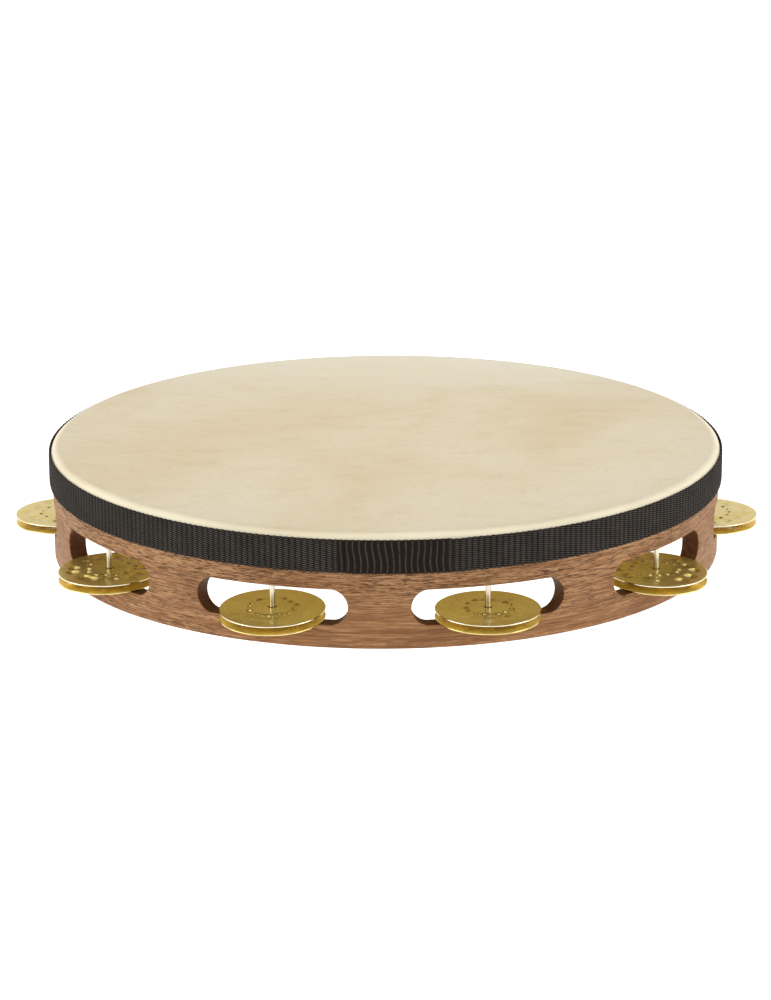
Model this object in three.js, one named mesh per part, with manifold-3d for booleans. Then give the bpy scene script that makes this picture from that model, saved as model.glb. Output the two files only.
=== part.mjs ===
// A ten-inch headed tambourine: a bent wooden ring with nine pairs of jingles, each pair loose on
// a nail in its own slot, a stretched skin over the top edge and a woven band that covers the
// skin's lapped edge. Millimetres, +Z up, head up. The origin is the middle of the ring's lower
// edge. Angles round the ring start at the front, toward -Y, and grow toward +X.
import * as THREE from 'three';
import { mergeVertices } from 'three/addons/utils/BufferGeometryUtils.js';
import Module from 'manifold-3d';

// Ring
const ringOuterRadius = 127.6;
const ringWall = 6.6;
const ringHeight = 42;
const ringSides = 90;
const lowerEdgeChamfer = 0.6;
const bearingRadius = 2;

// Slots and the stations they stand at: ten places at equal steps, one of them the hand grip
const stationCount = 10;
const stationStep = (2 * Math.PI) / stationCount;
const gripStation = 5;
const slotFloor = 8.6;
const slotHeight = 13.2;
const slotLength = 57.6;
const slotEndSteps = 8;
const slotRunSteps = 10;
const slotCutInnerRadius = 108;
const slotCutOuterRadius = 146;
const thumbHoleRadius = 8;
const thumbHoleHeight = 19;

// Jingle nails, driven up from the lower edge
const pinCircleRadius = 124;
const pinRadius = 1.1;
const pinHeadRadius = 2;
const pinHeadThickness = 0.8;
const pinHeadRecess = 0.15;
const pinTop = 27;
const pinPoint = 0.5;
const pinSides = 12;
const pinHoleGap = 0.3;

// Jingles: two alike discs, face to face
const jingleRadius = 19;
const jingleHoleRadius = 1.6;
const jingleThickness = 0.5;
const jingleSides = 20;
const hubRadius = 6.2;
const hubRise = 0.35;
const beadRadius = 8.5;
const beadDepth = 1.05;
const beadOuterRadius = 10.8;
const rimDrop = 0.25;
const lowerJingleHeight = 9.3;
const upperJingleHeight = 12.1;

// Skin and band
const contactGap = 0.2;
const skinThickness = 0.4;
const skirtBottom = 29.6;
const shoulderSteps = 3;
const bandBottom = 28.4;
const bandTop = 40.8;
const bandThickness = 0.9;
const lapThickness = 0.8;
const lapStart = THREE.MathUtils.degToRad(-5.3);
const lapEnd = THREE.MathUtils.degToRad(12.3);

const wasm = await Module();
wasm.setup();

const walnutWood = { color: 0x9a7350, roughness: 0.5, metalness: 0 };
const goatskin = { color: 0xdccdae, roughness: 0.55, metalness: 0 };
const blackWebbing = { color: 0x33302e, roughness: 0.85, metalness: 0 };
const brass = { color: 0xb79a4a, roughness: 0.25, metalness: 1 };
const pinSteel = { color: 0xc4c4c2, roughness: 0.25, metalness: 1 };

const tambourine = new THREE.Group();

function addMesh(name, geometry, finish) {
  const mesh = new THREE.Mesh(geometry, new THREE.MeshStandardMaterial(finish));
  mesh.name = name;
  tambourine.add(mesh);
  return mesh;
}

function toSolid(geometry) {
  const bare = geometry.clone();
  bare.deleteAttribute('normal');
  bare.deleteAttribute('uv');
  const merged = mergeVertices(bare, 1e-4);
  const vertProperties = Float32Array.from(merged.attributes.position.array);
  const triVerts = Uint32Array.from(merged.index.array);
  return new wasm.Manifold(new wasm.Mesh({ numProp: 3, vertProperties, triVerts }));
}

function toGeometry(solid) {
  const mesh = solid.getMesh();
  const geometry = new THREE.BufferGeometry();
  geometry.setAttribute('position', new THREE.BufferAttribute(mesh.vertProperties, 3));
  geometry.setIndex(new THREE.BufferAttribute(mesh.triVerts, 1));
  geometry.computeVertexNormals();
  return geometry;
}

// A ring or disc turned about +Z. The outline runs in (radius, height), anticlockwise, and a
// closed outline that stays off the axis repeats its first point at its end.
function turned(outline, sides) {
  const geometry = new THREE.LatheGeometry(outline, sides);
  geometry.rotateX(Math.PI / 2);
  return geometry;
}

function arcPoints(centreX, centreY, radius, from, to, steps) {
  const points = [];
  for (let step = 0; step <= steps; step += 1) {
    const angle = from + ((to - from) * step) / steps;
    points.push(new THREE.Vector2(centreX + radius * Math.cos(angle), centreY + radius * Math.sin(angle)));
  }
  return points;
}

function stationAngle(station) {
  return (station - 0.5) * stationStep;
}

function stationPoint(station, radius, height) {
  const angle = stationAngle(station);
  return new THREE.Vector3(radius * Math.sin(angle), -radius * Math.cos(angle), height);
}

// Ring blank: a plain wall with a small chamfer below and a rounded outer bearing edge above
function ringBlank() {
  const inner = ringOuterRadius - ringWall;
  const outline = [
    new THREE.Vector2(inner + lowerEdgeChamfer, 0),
    new THREE.Vector2(ringOuterRadius - lowerEdgeChamfer, 0),
    new THREE.Vector2(ringOuterRadius, lowerEdgeChamfer),
    ...arcPoints(
      ringOuterRadius - bearingRadius,
      ringHeight - bearingRadius,
      bearingRadius,
      0,
      Math.PI / 2,
      shoulderSteps,
    ),
    new THREE.Vector2(inner, ringHeight),
    new THREE.Vector2(inner, lowerEdgeChamfer),
    new THREE.Vector2(inner + lowerEdgeChamfer, 0),
  ];
  return toSolid(turned(outline, ringSides));
}

// Slot cutter: an oblong with round ends, bent round the ring so that its walls run to the axis
function slotOutline() {
  const endRadius = slotHeight / 2;
  const halfRun = slotLength / 2 - endRadius;
  const quarter = Math.PI / 2;
  const shape = new THREE.Shape();
  const points = [
    ...arcPoints(halfRun, 0, endRadius, -quarter, quarter, slotEndSteps),
    ...arcPoints(-halfRun, 0, endRadius, quarter, 3 * quarter, slotEndSteps),
  ];
  const runPoints = (sign) => {
    const run = [];
    for (let step = 1; step < slotRunSteps; step += 1) {
      const along = halfRun - (2 * halfRun * step) / slotRunSteps;
      run.push(new THREE.Vector2(sign * along, sign * endRadius));
    }
    return run;
  };
  const half = slotEndSteps + 1;
  const around = [...points.slice(0, half), ...runPoints(1), ...points.slice(half), ...runPoints(-1)];
  shape.setFromPoints(around);
  return shape;
}

function slotCutter(station) {
  const depth = slotCutOuterRadius - slotCutInnerRadius;
  const geometry = new THREE.ExtrudeGeometry(slotOutline(), { depth, bevelEnabled: false });
  const positions = geometry.attributes.position;
  const middle = slotFloor + slotHeight / 2;
  for (let index = 0; index < positions.count; index += 1) {
    const angle = stationAngle(station) + positions.getX(index) / ringOuterRadius;
    const radius = slotCutInnerRadius + positions.getZ(index);
    const height = middle + positions.getY(index);
    positions.setXYZ(index, radius * Math.sin(angle), -radius * Math.cos(angle), height);
  }
  return toSolid(geometry);
}

function pinHoleCutters(station) {
  const depth = pinTop + 2 * pinHoleGap;
  const shank = new THREE.CylinderGeometry(pinRadius + pinHoleGap, pinRadius + pinHoleGap, depth, pinSides);
  shank.rotateX(Math.PI / 2);
  const shankPlace = stationPoint(station, pinCircleRadius, depth / 2 - pinHoleGap);
  shank.translate(shankPlace.x, shankPlace.y, shankPlace.z);
  const sinkRadius = pinHeadRadius + pinHoleGap;
  const sinkDepth = 2 * (pinHeadRecess + pinHeadThickness + pinHoleGap);
  const sink = new THREE.CylinderGeometry(sinkRadius, sinkRadius, sinkDepth, pinSides);
  sink.rotateX(Math.PI / 2);
  const sinkPlace = stationPoint(station, pinCircleRadius, 0);
  sink.translate(sinkPlace.x, sinkPlace.y, sinkPlace.z);
  return toSolid(shank).add(toSolid(sink));
}

function thumbHoleCutter(station) {
  const length = slotCutOuterRadius - slotCutInnerRadius;
  const geometry = new THREE.CylinderGeometry(thumbHoleRadius, thumbHoleRadius, length, 2 * pinSides);
  geometry.rotateZ(stationAngle(station));
  const place = stationPoint(station, (slotCutOuterRadius + slotCutInnerRadius) / 2, thumbHoleHeight);
  geometry.translate(place.x, place.y, place.z);
  return toSolid(geometry);
}

function ringShell() {
  let ring = ringBlank();
  for (let station = 1 - gripStation; station <= gripStation; station += 1) {
    if (station === gripStation) {
      ring = ring.subtract(thumbHoleCutter(station));
    } else {
      ring = ring.subtract(slotCutter(station));
      ring = ring.subtract(pinHoleCutters(station));
    }
  }
  return toGeometry(ring);
}

// Skin: a flat face that turns down over the bearing edge into a skirt outside the ring
function skin() {
  const skirtInner = ringOuterRadius + contactGap;
  const skirtOuter = skirtInner + skinThickness;
  const shoulderX = ringOuterRadius - bearingRadius;
  const shoulderY = ringHeight - bearingRadius;
  const innerShoulder = bearingRadius + contactGap;
  const outerShoulder = innerShoulder + skinThickness;
  const quarter = Math.PI / 2;
  const outline = [
    new THREE.Vector2(0, shoulderY + innerShoulder),
    ...arcPoints(shoulderX, shoulderY, innerShoulder, quarter, 0, shoulderSteps),
    new THREE.Vector2(skirtInner, skirtBottom),
    new THREE.Vector2(skirtOuter, skirtBottom),
    ...arcPoints(shoulderX, shoulderY, outerShoulder, 0, quarter, shoulderSteps),
    new THREE.Vector2(0, shoulderY + outerShoulder),
  ];
  return turned(outline, ringSides);
}

// Band: one strip round the skirt, with its end lapped over its start
function band() {
  const inner = ringOuterRadius + 2 * contactGap + skinThickness;
  const outer = inner + bandThickness;
  const outline = [
    new THREE.Vector2(inner, bandBottom),
    new THREE.Vector2(outer, bandBottom),
    new THREE.Vector2(outer, bandTop),
    new THREE.Vector2(inner, bandTop),
    new THREE.Vector2(inner, bandBottom),
  ];
  const overlap = bandThickness / 2;
  const lapOuter = outer + lapThickness;
  const lapShape = new THREE.Shape();
  const front = -Math.PI / 2;
  lapShape.absarc(0, 0, lapOuter, front + lapStart, front + lapEnd, false);
  lapShape.absarc(0, 0, outer - overlap, front + lapEnd, front + lapStart, true);
  lapShape.closePath();
  const depth = bandTop - bandBottom;
  const lap = new THREE.ExtrudeGeometry(lapShape, { depth, bevelEnabled: false, curveSegments: 6 });
  lap.translate(0, 0, bandBottom);
  return toGeometry(toSolid(turned(outline, ringSides)).add(toSolid(lap)));
}

function jinglePin() {
  const headTop = pinHeadRecess + pinHeadThickness;
  const outline = [
    new THREE.Vector2(0, pinHeadRecess),
    new THREE.Vector2(pinHeadRadius, pinHeadRecess),
    new THREE.Vector2(pinHeadRadius, headTop),
    new THREE.Vector2(pinRadius, headTop),
    new THREE.Vector2(pinRadius, pinTop - pinPoint),
    new THREE.Vector2(0, pinTop),
  ];
  return turned(outline, pinSides);
}

// Jingle: hub raised away from its partner, a pressed bead toward it, and a rim that droops to it
function jingle(facing) {
  const half = jingleThickness / 2;
  const section = [
    [jingleHoleRadius, hubRise],
    [hubRadius, hubRise],
    [beadRadius, -beadDepth],
    [beadOuterRadius, 0],
    [jingleRadius, -rimDrop],
  ];
  const under = section.map(([radius, rise]) => new THREE.Vector2(radius, facing * rise - half));
  const over = section.map(([radius, rise]) => new THREE.Vector2(radius, facing * rise + half));
  return turned([...under, ...over.reverse(), under[0].clone()], jingleSides);
}

addMesh('frame_shell', ringShell(), walnutWood);
addMesh('goatskin_head', skin(), goatskin);
addMesh('webbing_band', band(), blackWebbing);

const facingUp = 1;
const facingDown = -1;
let pair = 0;
for (let station = 1 - gripStation; station < gripStation; station += 1) {
  pair += 1;
  const pin = addMesh(`jingle_pin_${pair}`, jinglePin(), pinSteel);
  pin.position.copy(stationPoint(station, pinCircleRadius, 0));
  const lower = addMesh(`jingle_${pair}_lower`, jingle(facingDown), brass);
  lower.position.copy(stationPoint(station, pinCircleRadius, lowerJingleHeight));
  const upper = addMesh(`jingle_${pair}_upper`, jingle(facingUp), brass);
  upper.position.copy(stationPoint(station, pinCircleRadius, upperJingleHeight));
}

export default tambourine;
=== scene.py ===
import math
import random
import bmesh
import bpy
from mathutils import Matrix, Vector, noise


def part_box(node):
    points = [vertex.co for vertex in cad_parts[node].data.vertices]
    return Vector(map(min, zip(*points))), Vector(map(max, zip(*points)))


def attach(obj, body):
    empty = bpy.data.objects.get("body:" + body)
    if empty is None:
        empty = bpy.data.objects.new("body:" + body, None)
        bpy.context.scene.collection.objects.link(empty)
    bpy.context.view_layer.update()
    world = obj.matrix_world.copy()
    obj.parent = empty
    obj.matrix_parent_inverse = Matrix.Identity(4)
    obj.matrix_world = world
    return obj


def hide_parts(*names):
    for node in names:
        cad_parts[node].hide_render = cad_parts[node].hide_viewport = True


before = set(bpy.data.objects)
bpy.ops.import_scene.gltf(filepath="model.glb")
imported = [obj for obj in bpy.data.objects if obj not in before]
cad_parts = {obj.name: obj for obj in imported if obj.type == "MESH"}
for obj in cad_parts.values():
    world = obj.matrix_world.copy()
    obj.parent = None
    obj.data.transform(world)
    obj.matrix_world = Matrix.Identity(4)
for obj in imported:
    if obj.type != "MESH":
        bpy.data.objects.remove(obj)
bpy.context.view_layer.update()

mm = 0.001
shellBody = "shell"
stationStep = math.radians(36)
gripStation = 4.5  # in steps from the front, toward +X
jingleStations = [step - 4.5 for step in range(9)]  # pair 1 stands furthest round toward -X

view = {
    "lens": 132.3,
    "sensor": 36,
    "clipStart": 10 * mm,
    "distance": 1417.8 * mm,
    "azimuth": math.radians(1.06),
    "elevation": math.radians(16.65),
    "roll": math.radians(-0.28),
    "aimSide": -0.09 * mm,
    "aimHeight": 17.03 * mm,
}


def aimAt(thing, place, target, roll=0.0):
    turn = (target - place).to_track_quat("-Z", "Y").to_matrix().to_4x4()
    thing.matrix_world = Matrix.Translation(place) @ turn @ Matrix.Rotation(roll, 4, "Z")


def addCamera():
    data = bpy.data.cameras.new("camera")
    data.lens = view["lens"]
    data.sensor_width = view["sensor"]
    data.clip_start = view["clipStart"]
    camera = bpy.data.objects.new("camera", data)
    bpy.context.collection.objects.link(camera)
    side = Vector((math.cos(view["azimuth"]), math.sin(view["azimuth"]), 0))
    back = Vector((math.sin(view["azimuth"]), -math.cos(view["azimuth"]), 0))
    aim = side * view["aimSide"] + Vector((0, 0, view["aimHeight"]))
    reach = back * math.cos(view["elevation"]) + Vector((0, 0, math.sin(view["elevation"])))
    aimAt(camera, aim + reach * view["distance"], aim, view["roll"])
    bpy.context.scene.camera = camera


studio = {
    "frontGlow": 0.51,  # the soft room light is weaker behind the camera than beyond the object
    "backGlow": 1.05,
    "floorSize": 8.0,
    "floorGap": 0.05 * mm,  # below the sole of the ring
    "floorColour": (0.10, 0.10, 0.10, 1),
    "floorRoughness": 0.9,
    "floorGlow": 1.45,
    "glossyBounces": 12,  # light finds its way out from between two discs
    "lampAim": 20 * mm,
    "lamps": [
        {"name": "leftBox", "place": (-1.25, -0.40, 0.60), "size": (0.9, 0.9), "power": 6.5},
        {"name": "rightBox", "place": (1.25, -0.40, 0.60), "size": (0.9, 0.9), "power": 6.0},
        {"name": "topStrip", "place": (0.0, 0.50, 1.25), "size": (1.6, 0.40), "power": 3.3},
    ],
}


def worldLight(world):
    tree = world.node_tree
    background = tree.nodes["Background"]
    direction = addNode(tree, "ShaderNodeTexCoord").outputs["Generated"]
    depth = addNode(tree, "ShaderNodeSeparateXYZ", {0: direction}).outputs[1]
    glow = fade(tree, depth, -1.0, 1.0, studio["frontGlow"], studio["backGlow"])
    background.inputs["Color"].default_value = (1, 1, 1, 1)
    tree.links.new(glow, background.inputs["Strength"])


def addStudio():
    scene = bpy.context.scene
    scene.view_settings.view_transform = "Standard"
    scene.cycles.glossy_bounces = studio["glossyBounces"]
    world = bpy.data.worlds.new("studio")
    world.use_nodes = True
    worldLight(world)
    scene.world = world
    for lamp in studio["lamps"]:
        data = bpy.data.lights.new(lamp["name"], "AREA")
        data.shape = "RECTANGLE"
        data.size, data.size_y = lamp["size"]
        data.energy = lamp["power"]
        thing = bpy.data.objects.new(lamp["name"], data)
        bpy.context.collection.objects.link(thing)
        aimAt(thing, Vector(lamp["place"]), Vector((0, 0, studio["lampAim"])))
    bm = bmesh.new()
    bmesh.ops.create_grid(bm, x_segments=1, y_segments=1, size=studio["floorSize"] / 2)
    bmesh.ops.translate(bm, verts=bm.verts[:], vec=(0, 0, -studio["floorGap"]))
    floor = makeObject("floor", bm, [floorMaterial()])


def makeObject(name, bm, materials, sharpAngle=40):
    mesh = bpy.data.meshes.new(name)
    for face in bm.faces:
        face.smooth = True
    bm.to_mesh(mesh)
    bm.free()
    mesh.set_sharp_from_angle(angle=math.radians(sharpAngle))
    for material in materials:
        mesh.materials.append(material)
    thing = bpy.data.objects.new(name, mesh)
    bpy.context.collection.objects.link(thing)
    return thing


def finishPiece(piece, body, slot, *nodes):
    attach(piece, body)
    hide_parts(*nodes)


def arc(centreX, centreZ, radius, start, end, steps):
    points = []
    for step in range(steps + 1):
        angle = math.radians(start + (end - start) * step / steps)
        points.append((centreX + radius * math.cos(angle), centreZ + radius * math.sin(angle)))
    return points


def turnProfile(points, steps, closed=False):
    bm = bmesh.new()
    verts = [bm.verts.new((x, 0, z)) for x, z in points]
    edges = [bm.edges.new(pair) for pair in zip(verts, verts[1:])]
    if closed:
        edges.append(bm.edges.new((verts[-1], verts[0])))
    bmesh.ops.spin(
        bm, geom=verts + edges, cent=(0, 0, 0), axis=(0, 0, 1), dvec=(0, 0, 0),
        angle=2 * math.pi, steps=steps, use_merge=True, use_normal_flip=False, use_duplicate=False,
    )
    bmesh.ops.remove_doubles(bm, verts=bm.verts[:], dist=1e-7)
    bmesh.ops.recalc_face_normals(bm, faces=bm.faces[:])
    return bm


def stationPoint(station, radius, height):
    angle = station * stationStep
    return Vector((radius * math.sin(angle), -radius * math.cos(angle), height))


def startMaterial(name, **values):
    material = bpy.data.materials.new(name)
    material.use_nodes = True
    tree = material.node_tree
    shader = tree.nodes["Principled BSDF"]
    for key, value in values.items():
        shader.inputs[key.replace("_", " ")].default_value = value
    return material, tree, shader


def addNode(tree, kind, inputs=None, **settings):
    node = tree.nodes.new(kind)
    for key, value in settings.items():
        setattr(node, key, value)
    for key, value in (inputs or {}).items():
        socket = node.inputs[key]
        if isinstance(value, bpy.types.NodeSocket):
            tree.links.new(value, socket)
        else:
            socket.default_value = value
    return node


def calc(tree, operation, first, second=0.0, clamp=False):
    node = addNode(tree, "ShaderNodeMath", {0: first, 1: second}, operation=operation)
    node.use_clamp = clamp
    return node.outputs[0]


def objectPoint(tree):
    return addNode(tree, "ShaderNodeTexCoord").outputs["Object"]


def grainNoise(tree, point, scale, detail=3.0, roughness=0.5, stretch=None, distortion=0.0):
    vector = point
    if stretch:
        vector = addNode(tree, "ShaderNodeMapping", {"Vector": point, "Scale": stretch}).outputs[0]
    values = {
        "Vector": vector, "Scale": scale, "Detail": detail,
        "Roughness": roughness, "Distortion": distortion,
    }
    return addNode(tree, "ShaderNodeTexNoise", values).outputs["Fac"]


def ramp(tree, factor, stops):
    node = addNode(tree, "ShaderNodeValToRGB", {"Fac": factor})
    elements = node.color_ramp.elements
    while len(elements) < len(stops):
        elements.new(0.5)
    for element, (position, colour) in zip(elements, stops):
        element.position = position
        element.color = colour if len(colour) == 4 else (*colour, 1)
    return node.outputs["Color"]


def fade(tree, factor, low, high, fromValue=0.0, toValue=1.0):
    values = {
        "Value": factor, "From Min": low, "From Max": high,
        "To Min": fromValue, "To Max": toValue,
    }
    return addNode(tree, "ShaderNodeMapRange", values).outputs["Result"]


def mixColour(tree, factor, first, second, blend="MIX"):
    node = addNode(tree, "ShaderNodeMix", data_type="RGBA", blend_type=blend)
    for index, value in ((0, factor), (6, first), (7, second)):
        if isinstance(value, bpy.types.NodeSocket):
            tree.links.new(value, node.inputs[index])
        else:
            node.inputs[index].default_value = value
    return node.outputs[2]


def addBump(tree, shader, height, distance, strength=1.0):
    values = {"Height": height, "Distance": distance, "Strength": strength}
    node = addNode(tree, "ShaderNodeBump", values)
    tree.links.new(node.outputs[0], shader.inputs["Normal"])


def blend(tree, *weighted):
    # the weighted sum of some factors, each given as (factor, weight)
    total = 0.0
    for factor, weight in weighted:
        part = calc(tree, "MULTIPLY", factor, weight)
        total = calc(tree, "ADD", total, part) if total else part
    return total


def roundPoint(tree, unrollRadius):
    # x runs round the ring in metres, y is the height and z the distance from the axis
    parts = addNode(tree, "ShaderNodeSeparateXYZ", {0: objectPoint(tree)}).outputs
    behind = calc(tree, "MULTIPLY", parts[1], -1.0)
    angle = calc(tree, "ARCTAN2", parts[0], behind)
    along = calc(tree, "MULTIPLY", angle, unrollRadius)
    across = calc(tree, "POWER", parts[0], 2.0)
    squares = calc(tree, "ADD", across, calc(tree, "POWER", parts[1], 2.0))
    radius = calc(tree, "SQRT", squares)
    return addNode(tree, "ShaderNodeCombineXYZ", {0: along, 1: parts[2], 2: radius}).outputs[0]


def floorMaterial():
    material, tree, shader = startMaterial(
        "paleFloor", Base_Color=studio["floorColour"], Roughness=studio["floorRoughness"],
    )
    shader.inputs["Emission Color"].default_value = (1, 1, 1, 1)
    shader.inputs["Emission Strength"].default_value = studio["floorGlow"]
    return material


woodLook = {
    "unrollRadius": 127 * mm,
    "dark": (0.203, 0.089, 0.034),
    "middle": (0.310, 0.151, 0.065),
    "light": (0.435, 0.239, 0.116),
    "pore": (0.058, 0.021, 0.008, 1),
    # the slot walls are darker: partly a real stain, partly painted shade inside the openings
    "slotDark": (0.092, 0.032, 0.0100),
    "slotLight": (0.195, 0.074, 0.0260),
    "pores": 0.85,
    "slotPores": 0.4,
    "specular": 0.14,
    "tones": (0.42, 0.50, 0.59),
    "shortFade": (0.555, 0.60),
    "longFade": (0.58, 0.62),
    "crowding": (0.38, 0.62, 0.30, 1.0),
    "roughness": (0.50, 0.64),
    "bump": (0.12 * mm, 0.6),
}
woodGrain = {  # stretched along the ring, which is the way the grain runs
    "cloud": {
        "scale": 1.0, "detail": 3, "roughness": 0.55, "stretch": (7, 60, 40), "distortion": 0.3,
    },
    "streak": {
        "scale": 1.0, "detail": 4, "roughness": 0.65, "stretch": (26, 700, 500), "distortion": 0.5,
    },
    "fibre": {"scale": 1.0, "detail": 3, "roughness": 0.6, "stretch": (120, 2600, 2600)},
    "shortPores": {"scale": 1.0, "detail": 2, "stretch": (300, 3500, 3500), "distortion": 0.3},
    "longPores": {"scale": 1.0, "detail": 2, "stretch": (150, 2900, 2900), "distortion": 0.2},
}
woodShares = {"cloud": 0.24, "streak": 0.36, "fibre": 0.40, "reliefFibre": 0.35}


def woodMaterial(name, dark, middle, light, poreAmount):
    look = woodLook
    material, tree, shader = startMaterial(name, Specular_IOR_Level=look["specular"])
    point = roundPoint(tree, look["unrollRadius"])
    cloud, streak, fibre, shortPores, longPores = (
        grainNoise(tree, point, **grain) for grain in woodGrain.values()
    )
    shares = woodShares
    tone = blend(
        tree, (cloud, shares["cloud"]), (streak, shares["streak"]), (fibre, shares["fibre"]),
    )
    colour = ramp(tree, tone, list(zip(look["tones"], (dark, middle, light))))
    shortMask = fade(tree, shortPores, *look["shortFade"])
    pores = calc(tree, "MAXIMUM", shortMask, fade(tree, longPores, *look["longFade"]))
    crowd = fade(tree, cloud, *look["crowding"])
    poreMask = calc(tree, "MULTIPLY", pores, crowd)
    poreFactor = calc(tree, "MULTIPLY", poreMask, poreAmount)
    tree.links.new(mixColour(tree, poreFactor, colour, look["pore"]), shader.inputs["Base Color"])
    tree.links.new(fade(tree, streak, 0.3, 0.7, *look["roughness"]), shader.inputs["Roughness"])
    fibreRelief = calc(tree, "MULTIPLY", fibre, shares["reliefFibre"])
    addBump(tree, shader, calc(tree, "SUBTRACT", fibreRelief, poreMask), *look["bump"])
    return material


ringShape = {
    "wall": 6.6 * mm,
    "lowerRound": 0.6 * mm,
    "bearingRound": 3.4 * mm,
    "innerRound": 0.8 * mm,
    "slotLength": 57.6 * mm,
    "slotHeight": 13.2 * mm,
    "slotFloor": 8.6 * mm,
    "slotEdge": 0.25 * mm,
    "slotSides": 56,
    "thumbRadius": 8.0 * mm,
    "thumbHeight": 19.0 * mm,
    "pinCircle": 124.0 * mm,
    "sinkRadius": 2.3 * mm,
    "sinkDepth": 1.15 * mm,
    "sinkSides": 32,
    "roundSteps": 3,
    "columns": 54,
}


def pushEdges(bm, edges, step):
    # one more strip of wall, drawn out of these edges
    made = bmesh.ops.extrude_edge_only(bm, edges=edges)["geom"]
    verts = [part for part in made if isinstance(part, bmesh.types.BMVert)]
    bmesh.ops.translate(bm, verts=verts, vec=step)
    faces = [part for part in made if isinstance(part, bmesh.types.BMFace)]
    return verts, [part for part in made if isinstance(part, bmesh.types.BMEdge)], faces


def loopEdges(verts):
    inside = set(verts)
    edges = {edge for vert in verts for edge in vert.link_edges}
    return [edge for edge in edges if all(vert in inside for vert in edge.verts)]


def sideOf(vert):
    return (vert.co.x > 1e-6) - (vert.co.x < -1e-6)


def cutOpening(bm, radius, halfRun, height):
    # the walls of a round-ended opening with softened rims; returns the loops on both faces
    edge, wall = ringShape["slotEdge"], ringShape["wall"]
    made = bmesh.ops.create_circle(
        bm, cap_ends=False, segments=ringShape["slotSides"], radius=radius + edge,
    )
    verts = made["verts"]
    for vert in verts:
        vert.co += Vector((sideOf(vert) * halfRun, height, 0))
    outerLoop = loopEdges(verts)
    rim = arc(radius + edge, edge, edge, -90, -180, ringShape["roundSteps"])
    section = rim + [(reach, wall - depth) for reach, depth in reversed(rim)]
    edges = outerLoop
    wallStrip = ringShape["roundSteps"]  # the strip between the two softened rims
    for index, ((oldReach, oldDepth), (reach, depth)) in enumerate(zip(section, section[1:])):
        verts, edges, faces = pushEdges(bm, edges, (0, 0, depth - oldDepth))
        # the wall strip takes the darker slot wood, which is partly stain and partly painted shade
        for face in faces:
            face.material_index = int(index == wallStrip)
        for side in (-1, 0, 1):
            chosen = [vert for vert in verts if sideOf(vert) == side]
            centre = Vector((side * halfRun, height, 0))
            share = reach / oldReach
            space = Matrix.Translation(-centre)
            bmesh.ops.scale(bm, verts=chosen, vec=(share, share, 1), space=space)
    return outerLoop, edges


def rectangle(bm, halfWidth, corners):
    # four edges across the panel; corners holds (height, depth) of the two long sides
    low, high = corners
    places = [(-halfWidth, *low), (halfWidth, *low), (halfWidth, *high), (-halfWidth, *high)]
    verts = [bm.verts.new(place) for place in places]
    return [bm.edges.new((verts[i], verts[(i + 1) % 4])) for i in range(4)]


def followSection(bm, edge, section):
    edges = [edge]
    for old, new in zip(section, section[1:]):
        edges = pushEdges(bm, edges, (0, new[0] - old[0], new[1] - old[1]))[1]


def buildPanel(height, outerRadius, grip=False):
    # one tenth of the ring, flat: x runs round, y is the height and z the depth from the outer face
    shape = ringShape
    wall, low = shape["wall"], shape["lowerRound"]
    bearing, inner = shape["bearingRound"], shape["innerRound"]
    half = stationStep * outerRadius / 2
    bm = bmesh.new()
    if grip:
        loops = cutOpening(bm, shape["thumbRadius"], 0.0, shape["thumbHeight"])
    else:
        radius = shape["slotHeight"] / 2
        halfRun = shape["slotLength"] / 2 - radius
        loops = cutOpening(bm, radius, halfRun, shape["slotFloor"] + radius)
    front = rectangle(bm, half, ((low, 0), (height - bearing, 0)))
    back = rectangle(bm, half, ((low, wall), (height - inner, wall)))
    bmesh.ops.triangle_fill(bm, use_beauty=True, use_dissolve=False, edges=front + loops[0])
    bmesh.ops.triangle_fill(bm, use_beauty=True, use_dissolve=False, edges=back + loops[1])
    steps = shape["roundSteps"]
    followSection(bm, front[0], arc(low, low, low, 270, 180, steps))
    followSection(bm, back[0], [(y, wall - z) for y, z in arc(low, low, low, 270, 180, steps)])
    top = arc(height - bearing, bearing, bearing, -90, 0, 2 * steps)
    top += [(y, wall - z) for y, z in reversed(arc(height - inner, inner, inner, -90, 0, steps))]
    followSection(bm, front[2], top)
    sole = rectangle(bm, half, ((0, low), (0, wall - low)))
    holes = []
    if not grip:
        place = Matrix.Translation((0, 0, outerRadius - shape["pinCircle"]))
        sink = bmesh.ops.create_circle(
            bm, cap_ends=False, segments=shape["sinkSides"], radius=shape["sinkRadius"],
            matrix=place @ Matrix.Rotation(math.pi / 2, 4, "X"),
        )
        holes = loopEdges(sink["verts"])
    bmesh.ops.triangle_fill(bm, use_beauty=True, use_dissolve=False, edges=sole + holes)
    if holes:
        edges = pushEdges(bm, holes, (0, shape["sinkDepth"], 0))[1]
        bmesh.ops.edgeloop_fill(bm, edges=edges)
    bmesh.ops.remove_doubles(bm, verts=bm.verts[:], dist=1e-6)
    for column in range(1, shape["columns"]):
        place = (half * (2 * column / shape["columns"] - 1), 0, 0)
        everything = bm.verts[:] + bm.edges[:] + bm.faces[:]
        bmesh.ops.bisect_plane(
            bm, geom=everything, dist=1e-7, plane_co=place, plane_no=(1, 0, 0),
        )
    bmesh.ops.recalc_face_normals(bm, faces=bm.faces[:])
    return bm


def bendRound(bm, outerRadius, middleAngle):
    for vert in bm.verts:
        angle = middleAngle + vert.co.x / outerRadius
        radius = outerRadius - vert.co.z
        vert.co = Vector((radius * math.sin(angle), -radius * math.cos(angle), vert.co.y))


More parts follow.
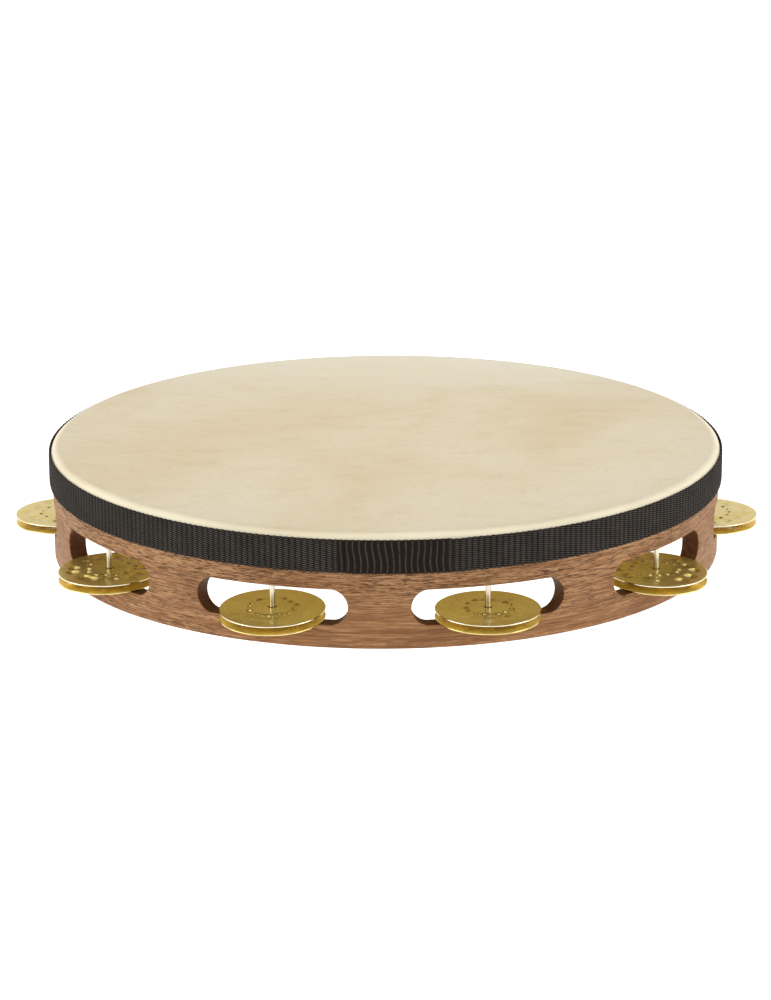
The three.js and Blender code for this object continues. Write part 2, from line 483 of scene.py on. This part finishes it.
def buildRing():
    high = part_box("frame_shell")[1]
    outerRadius, height = high.y, high.z
    grip = buildPanel(height, outerRadius, grip=True)
    bendRound(grip, outerRadius, gripStation * stationStep)
    gripMesh = bpy.data.meshes.new("gripPanel")
    grip.to_mesh(gripMesh)
    grip.free()
    bm = buildPanel(height, outerRadius)
    bendRound(bm, outerRadius, jingleStations[0] * stationStep)
    everything = bm.verts[:] + bm.edges[:] + bm.faces[:]
    copies = len(jingleStations) - 1
    bmesh.ops.spin(
        bm, geom=everything, cent=(0, 0, 0), axis=(0, 0, 1), dvec=(0, 0, 0),
        angle=copies * stationStep, steps=copies,
        use_merge=False, use_normal_flip=False, use_duplicate=True,
    )
    bm.from_mesh(gripMesh)
    bpy.data.meshes.remove(gripMesh)
    bmesh.ops.remove_doubles(bm, verts=bm.verts[:], dist=2e-6)
    bmesh.ops.recalc_face_normals(bm, faces=bm.faces[:])
    look = woodLook
    wood = woodMaterial("ringWood", look["dark"], look["middle"], look["light"], look["pores"])
    # darker wood for the slot walls: partly stain, partly painted shade
    walls = woodMaterial(
        "slotWoodStainAndShade", look["slotDark"], look["slotDark"], look["slotLight"], look["slotPores"],
    )
    ring = makeObject("wooden_ring", bm, [wood, walls])
    finishPiece(ring, shellBody, "shell_wood", "frame_shell")
    print("ring built:", len(ring.data.polygons), "faces")


skinShape = {
    "thickness": 0.4 * mm,
    "shoulder": 4.0 * mm,
    "shoulderSteps": 10,
    "rings": 22,
    "sides": 200,
    "sag": 0.12 * mm,
    "sagScale": 28,
    "sagLayer": 4.2,
    "sagEase": 20 * mm,
    "flatDiameter": 0.280,
}
skinLook = {
    "warm": (0.575, 0.465, 0.285),
    "cream": (0.608, 0.520, 0.352),
    "cool": (0.615, 0.545, 0.400),
    # painted sheen: the skin is mixed toward this paler colour toward the back, for light glancing
    # off the far skin
    "backSheen": (0.680, 0.625, 0.485, 1),
    # the pale rim is partly the hide over the bearing edge, partly a painted highlight where the
    # rounded shoulder catches the light
    "rim": (0.920, 0.810, 0.590),
    "stain": (0.420, 0.300, 0.140, 1),
    # the amber underside is partly the flesh side's own colour, partly painted light shining warm
    # through the hide
    "insideDark": (0.365, 0.282, 0.100),
    "insideLight": (0.435, 0.352, 0.145),
    "scatter": (1.0, 0.7, 0.4),
    "clouds": (0.36, 0.52, 0.66),
    "mottleStain": (0.52, 0.74, 0.0, 0.20),
    "follicleStain": (0.54, 0.70, 0.0, 0.30),
    "backSheenFade": (0.070, 0.125, 0.0, 0.8),
    "rimFade": (0.1262, 0.1290),
    "rimWobble": 3 * mm,
    "roughness": (0.38, 0.52),
    "grainRelief": 0.25,
    "veins": (0.35, 0.65),
    "bump": (0.3 * mm, 0.35),
    "insideBump": (0.2 * mm, 0.4),
}
skinGrain = {
    "cloud": {"scale": 9, "detail": 4, "roughness": 0.6, "distortion": 0.4},
    "mottle": {
        "scale": 1.0, "detail": 5, "roughness": 0.7, "stretch": (60, 120, 120), "distortion": 0.3,
    },
    "follicles": {"scale": 1.0, "detail": 3, "roughness": 0.6, "stretch": (380, 800, 800)},
    "wobble": {"scale": 30, "detail": 2},
    "grain": {"scale": 600, "detail": 4, "roughness": 0.65},
    "waves": {"scale": 35, "detail": 3},
}
insideGrain = {
    "veins": {
        "scale": 1.0, "detail": 5, "roughness": 0.7, "stretch": (30, 14, 30), "distortion": 1.2,
    },
    "fuzz": {"scale": 500, "detail": 4, "roughness": 0.6},
}


def skinMaterial():
    look = skinLook
    material, tree, shader = startMaterial(
        "stretchedSkin", Specular_IOR_Level=0.35, Subsurface_Weight=0.1, Subsurface_Scale=2 * mm,
    )
    shader.inputs["Subsurface Radius"].default_value = look["scatter"]
    point = objectPoint(tree)
    parts = addNode(tree, "ShaderNodeSeparateXYZ", {0: point}).outputs
    flat = addNode(tree, "ShaderNodeCombineXYZ", {0: parts[0], 1: parts[1], 2: 0.0}).outputs[0]
    length = addNode(tree, "ShaderNodeVectorMath", {0: flat}, operation="LENGTH")
    cloud, mottle, follicles, wobble, grain, waves = (
        grainNoise(tree, point, **values) for values in skinGrain.values()
    )
    stops = zip(look["clouds"], (look["warm"], look["cream"], look["cool"]))
    colour = ramp(tree, cloud, list(stops))
    colour = mixColour(tree, fade(tree, mottle, *look["mottleStain"]), colour, look["stain"])
    colour = mixColour(tree, fade(tree, follicles, *look["follicleStain"]), colour, look["stain"])
    # painted sheen: toward the back (+Y) the colour is mixed toward a paler tone
    colour = mixColour(tree, fade(tree, parts[1], *look["backSheenFade"]), colour, look["backSheen"])
    # near the edge the colour is mixed toward the pale rim: partly the hide over the bearing edge,
    # partly a painted highlight on the shoulder
    uneven = calc(tree, "MULTIPLY", wobble, look["rimWobble"])
    edge = calc(tree, "ADD", length.outputs["Value"], uneven)
    colour = mixColour(tree, fade(tree, edge, *look["rimFade"]), colour, (*look["rim"], 1))
    tree.links.new(colour, shader.inputs["Base Color"])
    tree.links.new(fade(tree, mottle, 0.3, 0.7, *look["roughness"]), shader.inputs["Roughness"])
    relief = calc(tree, "ADD", calc(tree, "MULTIPLY", grain, look["grainRelief"]), waves)
    addBump(tree, shader, relief, *look["bump"])
    return material


# the underside colour is partly the hide's own and partly painted warm light that passes through
# the skin
def skinInsideMaterial():
    look = skinLook
    material, tree, shader = startMaterial("skinInside", Roughness=0.65, Specular_IOR_Level=0.2)
    point = objectPoint(tree)
    veins = grainNoise(tree, point, **insideGrain["veins"])
    stops = zip(look["veins"], (look["insideDark"], look["insideLight"]))
    colour = ramp(tree, veins, list(stops))
    tree.links.new(colour, shader.inputs["Base Color"])
    addBump(tree, shader, grainNoise(tree, point, **insideGrain["fuzz"]), *look["insideBump"])
    return material


def buildSkin():
    low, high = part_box("goatskin_head")
    top, outer, bottom = high.z, high.y, low.z
    thick, shoulder = skinShape["thickness"], skinShape["shoulder"]
    flatRadius = outer - shoulder
    rings = skinShape["rings"]
    reach = [flatRadius * ring / rings for ring in range(rings)]
    points = [(radius, top) for radius in reach]
    points += arc(flatRadius, top - shoulder, shoulder, 90, 0, skinShape["shoulderSteps"])
    points += [(outer, bottom), (outer - thick, bottom)]
    points += arc(flatRadius, top - shoulder, shoulder - thick, 0, 90, skinShape["shoulderSteps"])
    points += [(radius, top - thick) for radius in reversed(reach)]
    bm = turnProfile(points, skinShape["sides"])
    for vert in bm.verts:
        radius = math.hypot(vert.co.x, vert.co.y)
        if radius < flatRadius:
            ease = min(1.0, (flatRadius - radius) / skinShape["sagEase"])
            scale = skinShape["sagScale"]
            place = Vector((vert.co.x * scale, vert.co.y * scale, skinShape["sagLayer"]))
            dip = 0.5 + 0.5 * noise.noise(place)
            vert.co.z -= skinShape["sag"] * dip * ease
    bm.normal_update()
    for face in bm.faces:
        # the faces seen from below get the amber underside, which is partly painted light through
        # the hide
        face.material_index = int(face.normal.z < -0.1)  # the faces seen from below
    skin = makeObject("skin_head", bm, [skinMaterial(), skinInsideMaterial()], 60)
    finishPiece(skin, shellBody, "head_skin", "goatskin_head")
    print("skin built:", len(skin.data.polygons), "faces")


bandShape = {
    "columnAngle": 1.0,  # degrees of ring for one woven rib
    "columnSteps": 4,
    "threads": 16,
    "threadSteps": 4,
    "thickness": 0.40 * mm,
    "ribHeight": 0.16 * mm,
    "threadHeight": 0.10 * mm,
    "slant": 0.45,
    "kink": 0.35,
    "edgeWave": 0.22 * mm,
    "lapStart": -5.3,
    "lapEnd": 12.3,
    "lapRamp": 3.0,
    "lapRise": 0.75 * mm,
    "endShort": 0.8,
    "backGap": 0.1 * mm,
    "ribPower": 0.6,
    "threadPower": 0.4,
    "gluedRib": 0.45,  # how much the glue flattens the ribs, the threads and the tape itself
    "gluedThread": 0.65,
    "gluedFlat": 0.12 * mm,
    "edgePower": 12,
    "edgeRound": 0.18 * mm,
}
glueShape = {  # degrees: where the glue soaks the lap, and the end that the lap covers
    "lapFade": 0.4,
    "beforeEnd": 3,
    "endFade": 5,
    "beforeUnder": 2.6,
    "underFade": 2.4,
}
kinkShape = {"scale": 0.16, "across": 1.7, "layer": 2, "lean": 0.6}
bandLook = {
    # painted shade and light: the tape's colour runs from dark in the grooves to pale on the crests
    # of the weave
    "grooveShade": (0.0050, 0.0040, 0.0033),
    "thread": (0.023, 0.0190, 0.0158),
    "crest": (0.090, 0.078, 0.067),
    "glued": (0.0085, 0.0046, 0.0028),
    "ridge": (0.062, 0.050, 0.042),
    "worn": (0.70, 0.70, 0.70),
    "heights": (0.10, 0.48, 0.95),
    "threadPower": 0.8,
    "ribPower": 0.5,
    "ribLow": 0.35,
    "threadLow": 0.10,
    "fuzz": 0.12,
    "ridgePower": 22.0,
    "ridgeLow": 0.35,
    "gluedDash": 0.16,
    "roughness": (0.8, 0.6),
    "gluedRelief": 0.3,
    "fuzzRelief": 0.25,
    "bump": (0.22 * mm, 0.7),
}
bandGrain = {
    "fuzz": {"scale": 2400, "detail": 2, "roughness": 0.6},
    "strand": {"scale": 700, "detail": 2, "roughness": 0.6},
    "wear": {"scale": 140, "detail": 3, "roughness": 0.6},
}
bandLayers = ("turns", "share", "glue")


def bandMaterial():
    look = bandLook
    material, tree, shader = startMaterial(
        "wovenTape", Roughness=0.75, Specular_IOR_Level=0.06,
    )
    turns, share, glue = (
        addNode(tree, "ShaderNodeAttribute", attribute_name=name).outputs["Fac"]
        for name in bandLayers
    )
    point = objectPoint(tree)
    fuzz, strand, wear = (grainNoise(tree, point, **grain) for grain in bandGrain.values())
    along = calc(tree, "FRACT", turns)
    rib = calc(tree, "SINE", calc(tree, "MULTIPLY", along, math.pi))
    number = calc(tree, "FLOOR", turns)  # the next rib lifts the other threads
    row = blend(tree, (share, bandShape["threads"]), (number, 0.5), (along, bandShape["slant"]))
    wave = calc(tree, "COSINE", calc(tree, "MULTIPLY", row, 2 * math.pi))
    thread = calc(tree, "POWER", fade(tree, wave, -1.0, 1.0), look["threadPower"])
    crest = calc(tree, "POWER", rib, look["ribPower"])
    lifted = fade(tree, crest, 0.0, 1.0, look["ribLow"], 1.0)
    dash = calc(tree, "MULTIPLY", lifted, fade(tree, thread, 0.0, 1.0, look["threadLow"], 1.0))
    height = calc(tree, "ADD", dash, fade(tree, fuzz, 0.3, 0.7, -look["fuzz"], look["fuzz"]))
    # painted shade in the grooves and painted light on the crests, following the height of the
    # weave
    stops = zip(look["heights"], (look["grooveShade"], look["thread"], look["crest"]))
    paintedWeaveShading = ramp(tree, height, list(stops))
    ridge = calc(tree, "POWER", rib, look["ridgePower"])
    broken = calc(tree, "MULTIPLY", ridge, fade(tree, strand, 0.3, 0.6, look["ridgeLow"], 1.0))
    faint = calc(tree, "ADD", broken, calc(tree, "MULTIPLY", dash, look["gluedDash"]))
    pressed = ramp(tree, faint, [(0.0, look["glued"]), (1.0, look["ridge"])])
    worn = ramp(tree, wear, [(0.3, look["worn"]), (0.7, (1, 1, 1))])
    colour = mixColour(tree, glue, mixColour(tree, 1.0, paintedWeaveShading, worn, "MULTIPLY"), pressed)
    tree.links.new(colour, shader.inputs["Base Color"])
    tree.links.new(fade(tree, glue, 0.0, 1.0, *look["roughness"]), shader.inputs["Roughness"])
    flat = calc(tree, "MULTIPLY", dash, fade(tree, glue, 0.0, 1.0, 1.0, look["gluedRelief"]))
    relief = calc(tree, "ADD", flat, calc(tree, "MULTIPLY", fuzz, look["fuzzRelief"]))
    addBump(tree, shader, relief, *look["bump"])
    return material


def smooth(value):
    value = min(1.0, max(0.0, value))
    return value * value * (3 - 2 * value)


def gluedShare(degrees):
    glue, start = glueShape, bandShape["lapStart"]
    past = degrees - bandShape["lapEnd"] + glue["beforeEnd"]
    over = smooth((degrees - start) / glue["lapFade"]) * (1 - smooth(past / glue["endFade"]))
    return max(over, smooth((degrees - 360 - start + glue["beforeUnder"]) / glue["underFade"]))


def tapeRelief(turns, share, glue):
    # how near this is to the crest of a rib, and how far the weave stands out here
    shape = bandShape
    rib = 0.5 - 0.5 * math.cos(2 * math.pi * turns)
    row = share * shape["threads"] + 0.5 * math.floor(turns) + shape["slant"] * (turns % 1)
    thread = 0.5 + 0.5 * math.cos(2 * math.pi * row)
    ribHeight = shape["ribHeight"] * (1 - shape["gluedRib"] * glue) * rib ** shape["ribPower"]
    threadHeight = shape["threadHeight"] * (1 - shape["gluedThread"] * glue) * thread
    return rib, ribHeight + threadHeight * rib ** shape["threadPower"]


def buildBand():
    shape = bandShape
    low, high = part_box("webbing_band")
    bottom, top = low.z, high.z
    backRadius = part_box("goatskin_head")[1].y + shape["backGap"]
    startAngle = shape["lapStart"]
    endAngle = 360 + shape["lapEnd"] - shape["endShort"]
    columns = round((endAngle - startAngle) / shape["columnAngle"])
    bm = bmesh.new()
    layers = [bm.verts.layers.float.new(name) for name in bandLayers]
    rows = shape["threads"] * shape["threadSteps"]
    bmesh.ops.create_grid(
        bm, x_segments=columns * shape["columnSteps"], y_segments=rows, size=0.5,
    )
    rim = [edge for edge in bm.edges if edge.is_boundary]
    backEdges = pushEdges(bm, rim, (0, 0, -1))[1]
    ends = {edge for edge in backEdges if abs(edge.verts[0].co.x - edge.verts[1].co.x) < 1e-9}
    bmesh.ops.bridge_loops(bm, edges=[edge for edge in backEdges if edge not in ends])
    for vert in bm.verts:
        degrees = startAngle + (vert.co.x + 0.5) * (endAngle - startAngle)
        share = vert.co.y + 0.5
        glue = gluedShare(degrees)
        kink = noise.noise(Vector((
            degrees * kinkShape["scale"], share * kinkShape["across"], kinkShape["layer"],
        )))
        kink += kinkShape["lean"] * share
        turns = (degrees - startAngle) / shape["columnAngle"] + shape["kink"] * glue * kink
        rib, relief = tapeRelief(turns, share, glue)
        lap = 1 - smooth((degrees - shape["lapEnd"]) / shape["lapRamp"])
        edgeShare = abs(2 * share - 1) ** shape["edgePower"]
        radius = backRadius + lap * shape["lapRise"]
        if vert.co.z > -0.5:  # the outer face
            radius += shape["thickness"] + relief - shape["gluedFlat"] * glue
            radius -= edgeShare * shape["edgeRound"]
        for layer, value in zip(layers, (turns, share, glue)):
            vert[layer] = value
        height = bottom + (top - bottom) * share
        height += math.copysign(edgeShare, 0.5 - share) * shape["edgeWave"] * (1 - rib)
        angle = math.radians(degrees)
        vert.co = Vector((radius * math.sin(angle), -radius * math.cos(angle), height))
    bmesh.ops.holes_fill(bm, edges=[edge for edge in bm.edges if edge.is_boundary], sides=0)
    bmesh.ops.recalc_face_normals(bm, faces=bm.faces[:])
    band = makeObject("woven_band", bm, [bandMaterial()], 75)
    finishPiece(band, shellBody, "edge_webbing", "webbing_band")
    print("band built:", len(band.data.polygons), "faces")


nailShape = {
    "shank": 1.05 * mm,
    "head": 2.0 * mm,
    "headLow": 0.12 * mm,
    "headHigh": 0.95 * mm,
    "crown": ((0.6, 0.02 * mm), (0.9, 0.09 * mm), (1.0, 0.25 * mm)),
    "bevel": (0.94, 0.12 * mm),
    "top": 26.9 * mm,
    "tip": ((1.0, 0.9 * mm), (0.5, 0.25 * mm), (0.0, 0.0)),
    "sides": 36,
}
nailLook = {
    "steel": (0.66, 0.60, 0.47, 1),
    "grain": {"scale": 1.0, "detail": 3, "roughness": 0.6, "stretch": (5000, 5000, 160)},
    "roughness": (0.14, 0.30),
    "bump": (0.02 * mm, 0.5),
}


def steelMaterial():
    look = nailLook
    material, tree, shader = startMaterial("nailSteel", Base_Color=look["steel"], Metallic=1.0)
    drawn = grainNoise(tree, objectPoint(tree), **look["grain"])
    tree.links.new(fade(tree, drawn, 0.3, 0.7, *look["roughness"]), shader.inputs["Roughness"])
    addBump(tree, shader, drawn, *look["bump"])
    return material


def nailSection():
    # radius and height from the crown of the head up to the tip
    shape = nailShape
    shank, head, low, high = (shape[key] for key in ("shank", "head", "headLow", "headHigh"))
    bevelShare, bevelDrop = shape["bevel"]
    section = [(0, low)] + [(head * share, low + rise) for share, rise in shape["crown"]]
    section += [(head, high - bevelDrop), (head * bevelShare, high), (shank, high)]
    return section + [(shank * share, shape["top"] - drop) for share, drop in shape["tip"]]


def buildNails():
    material = steelMaterial()
    section = nailSection()
    for number, station in enumerate(jingleStations, 1):
        bm = turnProfile(section, nailShape["sides"])
        place = stationPoint(station, ringShape["pinCircle"], 0)
        bmesh.ops.translate(bm, verts=bm.verts[:], vec=place)
        nail = makeObject(f"nail_{number}", bm, [material], 35)
        finishPiece(nail, shellBody, "nail_steel", f"jingle_pin_{number}")
    print("nails built:", len(jingleStations))


jingleShape = {
    "radius": 19.0 * mm,
    "hole": 1.6 * mm,
    "thickness": 0.48 * mm,
    "hubRise": 0.35 * mm,
    "hubRadius": 6.0 * mm,
    "hubFade": 7 * mm,
    "rimStart": 11 * mm,
    "rimFade": 9 * mm,
    "rimDrop": {1: 0.06 * mm, -1: -0.24 * mm},  # toward the partner; the lower rim bends away
    "beadRadius": 8.6 * mm,
    "beadWidth": 0.8 * mm,
    "beadDepth": 0.10 * mm,
    "rings": ((6.6 * mm, 10), (10.6 * mm, 18), (18.78 * mm, 22)),  # how far out, in how many steps
    "lipShare": 0.9,
    "lipAngles": (-60, -30, 0, 30, 60),
    "lipFaces": 0.6,
    "insideSlope": 0.3,
    "sides": 192,
    "warp": {"scale": 90, "seed": 3000, "height": 0.05 * mm},
    "seed": 40,
    "hubInset": 0.6 * mm,
    "leanReach": 2.1 * mm,
    "tilts": (2.0, 2.4, 1.0, 2.2, 2.9, 1.2, 3.0, 1.0, 2.2),  # degrees outward, pair by pair
    "hammering": (0.9, 1.0, 0.7, 1.25, 0.1, 0.2, 1.25, 0.7, 1.0),  # how hard each pair was struck
}
dentShape = {  # shade is how much steeper a hollow shades than the thin sheet is bent
    "inner": {
        "count": 13, "radius": 8.6 * mm, "spread": 0.8 * mm,
        "width": 0.80 * mm, "depth": 0.32 * mm, "shade": 2.4,
    },
    "outer": {
        "count": 13, "radius": 13.4 * mm, "spread": 1.5 * mm,
        "width": 1.6 * mm, "depth": 0.24 * mm, "shade": 2.6,
    },
    "turnSpread": 0.22,
    "widthSpread": (0.8, 1.2),
    "depthSpread": (0.6, 1.1),
    "reach": 6,
}
brassLook = {
    "hammeredBrass": {
        "deep": (0.620, 0.465, 0.120), "light": (0.680, 0.530, 0.155),
        "roughness": (0.22, 0.34), "metallic": 0.8,
    },
    # the faces inside each pair: partly a duller, unpolished finish, partly a brighter colour that
    # paints light into the gap between the discs
    "insideSatinLitBrass": {
        "deep": (0.620, 0.465, 0.120), "light": (0.950, 0.720, 0.150),
        "roughness": (0.20, 0.35), "metallic": 0.3,
    },
    # paler brass on the rims: a painted highlight along the edge, strongest on the upper discs
    "lowerRimHighlightBrass": {
        "deep": (0.680, 0.530, 0.155), "light": (0.880, 0.720, 0.340),
        "roughness": (0.12, 0.25), "metallic": 1.0,
    },
    "rimHighlightBrass": {
        "deep": (0.900, 0.800, 0.540), "light": (0.970, 0.900, 0.690),
        "roughness": (0.10, 0.20), "metallic": 1.0,
    },
}
brassGrain = {
    "tone": {"scale": 130, "detail": 4, "roughness": 0.6},
    "smear": {"scale": 60, "detail": 4, "roughness": 0.65},
    "ripple": {"scale": 170, "detail": 2},
    "fine": {"scale": 1.0, "detail": 2, "stretch": (3000, 500, 500)},
}
brassRelief = {"height": 0.06 * mm, "fineShare": 0.03}


def brassMaterial(name):
    look, relief = brassLook[name], brassRelief
    material, tree, shader = startMaterial(name, Metallic=look["metallic"])
    point = objectPoint(tree)
    tone, smear, ripple, fine = (
        grainNoise(tree, point, **grain) for grain in brassGrain.values()
    )
    colour = ramp(tree, tone, [(0.35, look["deep"]), (0.62, look["light"])])
    tree.links.new(colour, shader.inputs["Base Color"])
    tree.links.new(fade(tree, smear, 0.3, 0.75, *look["roughness"]), shader.inputs["Roughness"])
    uneven = calc(tree, "ADD", ripple, calc(tree, "MULTIPLY", fine, relief["fineShare"]))
    hammered = addNode(tree, "ShaderNodeAttribute", attribute_name="hammered").outputs["Fac"]
    height = calc(tree, "ADD", calc(tree, "MULTIPLY", uneven, relief["height"]), hammered)
    addBump(tree, shader, height, 1.0)
    return material


def jingleRise(radius, facing):
    shape = jingleShape
    hub = 1 - smooth((radius - shape["hubRadius"]) / shape["hubFade"])
    rim = smooth((radius - shape["rimStart"]) / shape["rimFade"])
    bead = math.exp(-(((radius - shape["beadRadius"]) / shape["beadWidth"]) ** 2))
    return shape["hubRise"] * hub - shape["rimDrop"][facing] * rim - shape["beadDepth"] * bead


def dentDepth(x, y, dents):
    depth = 0.0
    struck = 0.0
    for dentX, dentY, width, deep, shade in dents:
        away = ((x - dentX) ** 2 + (y - dentY) ** 2) / (width * width)
        if away < dentShape["reach"]:
            depth += deep * math.exp(-away)
            struck += shade * deep * math.exp(-away)
    return depth, struck


def scatterDents(rng, force):
    dents = []
    spread = dentShape["turnSpread"]
    for key, strength in (("inner", 1.0), ("outer", force)):
        row = dentShape[key]
        turn = rng.uniform(0, 2 * math.pi)
        for number in range(row["count"]):
            angle = turn + 2 * math.pi * (number + rng.uniform(-spread, spread)) / row["count"]
            radius = row["radius"] + rng.uniform(-1, 1) * row["spread"]
            width = row["width"] * rng.uniform(*dentShape["widthSpread"])
            deep = row["depth"] * rng.uniform(*dentShape["depthSpread"]) * strength
            x, y = radius * math.cos(angle), radius * math.sin(angle)
            dents.append((x, y, width, deep, row["shade"]))
    return dents


def jingleSection(facing):
    # the outline of the sheet, from the hole out along the under side and back along the upper
    shape = jingleShape
    half = shape["thickness"] / 2
    outer, lip = shape["radius"], half * shape["lipShare"]
    reach = [shape["hole"]]
    for end, steps in shape["rings"]:
        start = reach[-1]
        reach += [start + (end - start) * step / steps for step in range(1, steps + 1)]
    middle = [(radius, facing * jingleRise(radius, facing)) for radius in reach]
    section = [(radius, height - half) for radius, height in middle]
    for turn in (math.radians(degrees) for degrees in shape["lipAngles"]):
        height = facing * jingleRise(outer, facing) + half * math.sin(turn)
        section.append((outer - lip + lip * math.cos(turn), height))
    return section + [(radius, height + half) for radius, height in reversed(middle)]


def jingleMesh(facing, rng, force):
    shape, warp = jingleShape, jingleShape["warp"]
    bm = turnProfile(jingleSection(facing), shape["sides"], closed=True)
    hammered = bm.verts.layers.float.new("hammered")
    dents = scatterDents(rng, force)
    scale, seed = warp["scale"], dents[0][0] * warp["seed"]
    for vert in bm.verts:
        x, y, z = vert.co
        depth, struck = dentDepth(x, y, dents)
        side = -1 if z > facing * jingleRise(math.hypot(x, y), facing) else 1
        vert[hammered] = side * facing * struck
        vert.co.z -= facing * depth
        vert.co.z += warp["height"] * noise.noise(Vector((x * scale, y * scale, seed)))
    bm.normal_update()
    lipStart = shape["radius"] - shape["lipFaces"] * shape["lipShare"] * shape["thickness"] / 2
    for face in bm.faces:
        # 1 is for the faces that look at the other disc, 2 for the rim with its painted highlight
        face.material_index = int(facing * face.normal.z < -shape["insideSlope"])
        if math.hypot(*face.calc_center_median()[:2]) > lipStart:
            face.material_index = 2
    return bm


def buildJingles():
    shape = jingleShape
    polished, inside, lowerRimHighlight, upperRimHighlight = (brassMaterial(name) for name in brassLook)
    rimHighlights = {-1: lowerRimHighlight, 1: upperRimHighlight}
    for number, station in enumerate(jingleStations, 1):
        rng = random.Random(shape["seed"] + number)
        tilt = math.radians(shape["tilts"][number - 1])
        force = shape["hammering"][number - 1]
        angle = station * stationStep
        lean = Matrix.Rotation(angle, 4, "Z") @ Matrix.Rotation(tilt, 4, "X")
        lift = shape["leanReach"] * math.tan(tilt)  # the low side clears the floor of the slot
        for part, facing in (("lower", -1), ("upper", 1)):
            node = f"jingle_{number}_{part}"
            low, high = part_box(node)
            bm = jingleMesh(facing, rng, force)
            middle = low.z + shape["hubInset"] if facing < 0 else high.z - shape["hubInset"]
            place = stationPoint(station, ringShape["pinCircle"], middle + lift)
            bmesh.ops.transform(bm, verts=bm.verts[:], matrix=Matrix.Translation(place) @ lean)
            materials = [polished, inside, rimHighlights[facing]]
            disc = makeObject(f"jingle_disc_{number}_{part}", bm, materials, 60)
            finishPiece(disc, f"{node}_body", "jingle_brass", node)
    print("jingles built:", 2 * len(jingleStations))


addCamera()
addStudio()
buildRing()
buildSkin()
buildBand()
buildNails()
buildJingles()
